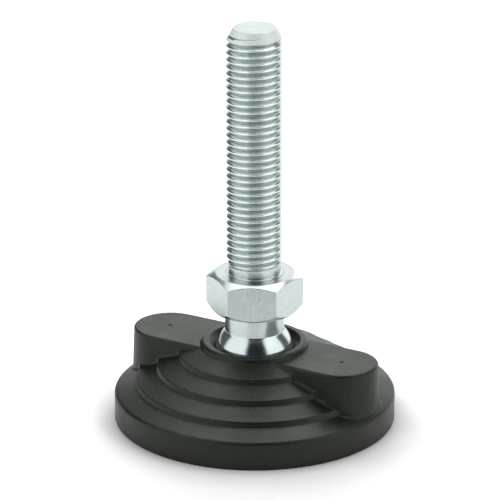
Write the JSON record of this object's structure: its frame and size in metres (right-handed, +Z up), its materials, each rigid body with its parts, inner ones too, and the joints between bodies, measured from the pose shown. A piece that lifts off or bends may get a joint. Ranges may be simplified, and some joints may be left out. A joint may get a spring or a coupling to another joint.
{
  "type": "swivel levelling foot",
  "caption": "Swivel levelling foot: threaded steel stem with a hexagon and ball end that tilts in a stepped, round black moulded base with side lugs.",
  "frame": {"origin": "middle of the base's underside, on the floor that it stands on", "axes": "+Z up along the stem, +X through one fixing lug, +Y across the lugs"},
  "size_m": [0.08, 0.08, 0.1157],
  "materials": {
    "moulded_polyamide": "matte",
    "zinc_plated_steel": "satin"
  },
  "bodies": {
    "foot": {"base": "moulded_polyamide"},
    "spindle": {"stem": "zinc_plated_steel"}
  },
  "joints": [
    {"name": "stem_tilt", "type": "hinge", "parent": "foot", "child": "spindle", "pos_m": [0, 0, 0.01867], "axis": [0, 1, 0], "range_deg": [-15, 15]}
  ]
}
